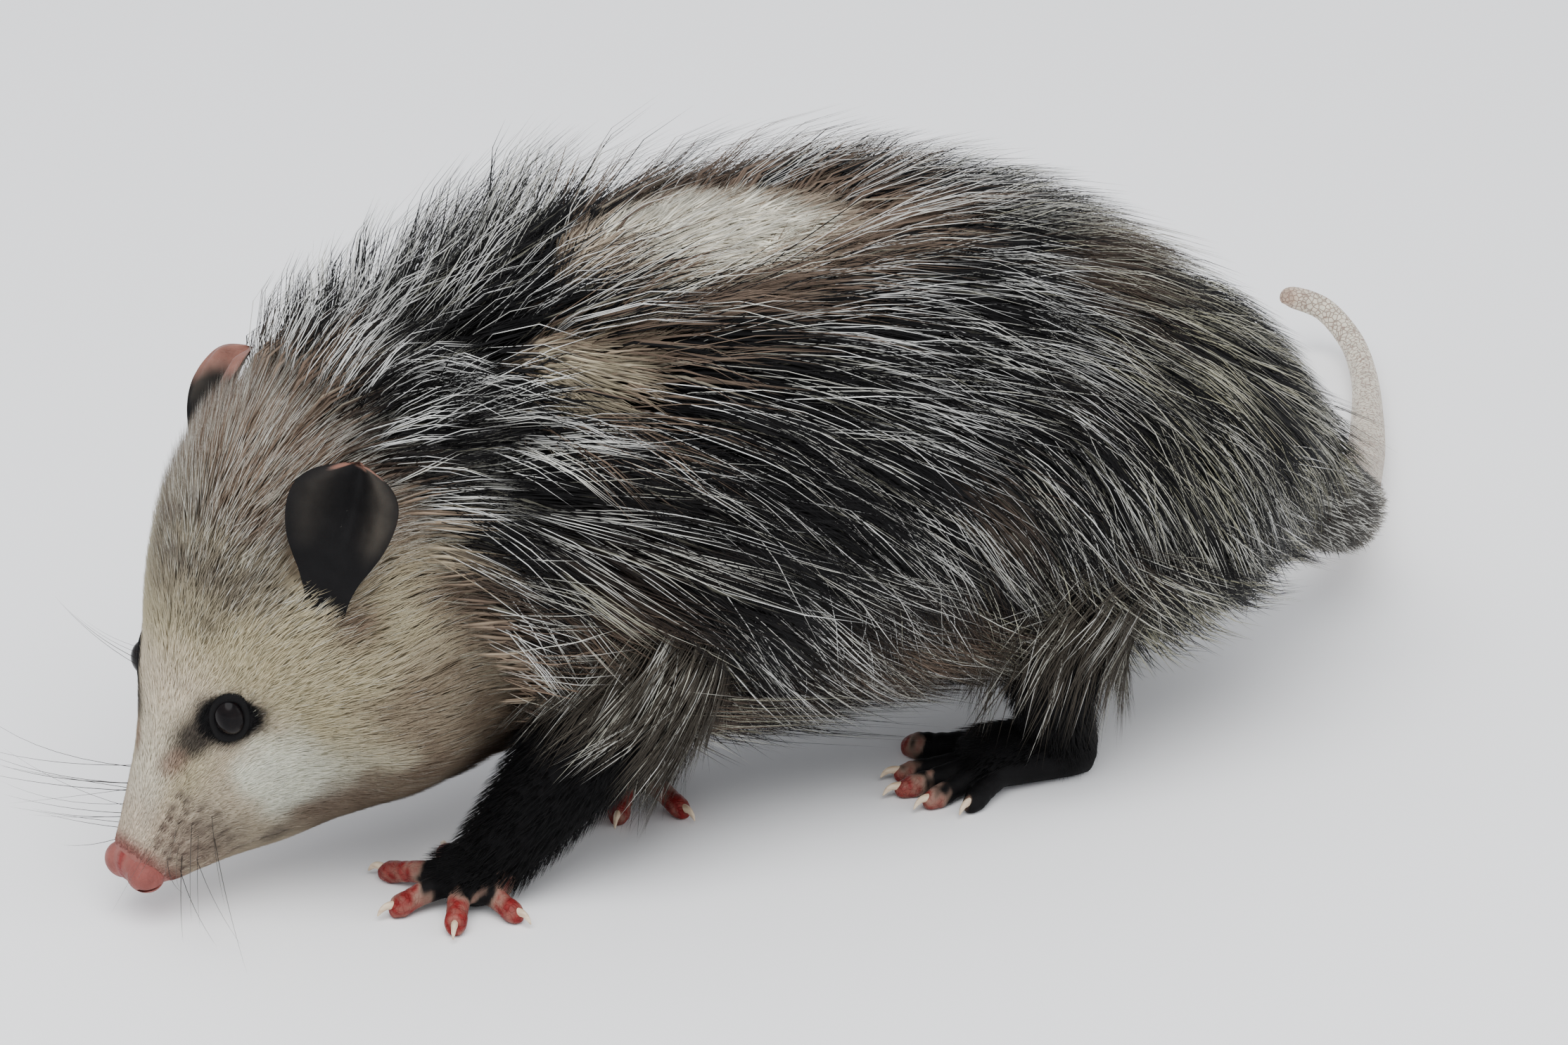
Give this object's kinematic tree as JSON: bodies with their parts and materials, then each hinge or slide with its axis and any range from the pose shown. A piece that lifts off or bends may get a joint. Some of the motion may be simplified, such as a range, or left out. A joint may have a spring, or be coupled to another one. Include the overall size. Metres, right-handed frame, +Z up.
{
  "type": "opossum",
  "caption": "Life-size still model of a Virginia opossum walking with its nose to the ground: pale face, shaggy grey coat and bare tail.",
  "frame": {"origin": "middle of the animal's bounding box, on the floor it walks on", "axes": "-X the way it walks, -Y its left side, +Z up"},
  "size_m": [0.5234, 0.3004, 0.1873],
  "materials": {
    "pale_fur": "pale cream fur, dusky along the forehead",
    "body_fur": "long black fur with pale guard hairs",
    "leg_fur": "short black fur",
    "nose_skin": "moist bare pink skin",
    "foot_skin": "bare pink-red skin",
    "ear_skin": "thin bare black skin with a pink rim",
    "eye": "wet black eye",
    "tail_skin": "scaly pinkish-white skin, furred at the root",
    "claw": "pale horn"
  },
  "bodies": {
    "root": {"head": "pale_fur", "nose": "nose_skin", "left_eye": "eye", "right_eye": "eye", "left_ear": "ear_skin", "right_ear": "ear_skin", "neck": "body_fur", "torso": "body_fur", "tail_1": "tail_skin", "tail_2": "tail_skin", "tail_3": "tail_skin", "tail_4": "tail_skin", "tail_5": "tail_skin", "left_forefoot": "foot_skin", "left_foreleg": "leg_fur", "left_forefoot_claw_1": "claw", "left_forefoot_claw_2": "claw", "left_forefoot_claw_3": "claw", "left_forefoot_claw_4": "claw", "left_forefoot_claw_5": "claw", "right_forefoot": "foot_skin", "right_foreleg": "leg_fur", "right_forefoot_claw_1": "claw", "right_forefoot_claw_2": "claw", "right_forefoot_claw_3": "claw", "right_forefoot_claw_4": "claw", "right_forefoot_claw_5": "claw", "left_hind_foot": "foot_skin", "left_hind_leg": "leg_fur", "left_hind_foot_claw_2": "claw", "left_hind_foot_claw_3": "claw", "left_hind_foot_claw_4": "claw", "left_hind_foot_claw_5": "claw", "right_hind_foot": "foot_skin", "right_hind_leg": "leg_fur", "right_hind_foot_claw_2": "claw", "right_hind_foot_claw_3": "claw", "right_hind_foot_claw_4": "claw", "right_hind_foot_claw_5": "claw"}
  },
  "joints": []
}
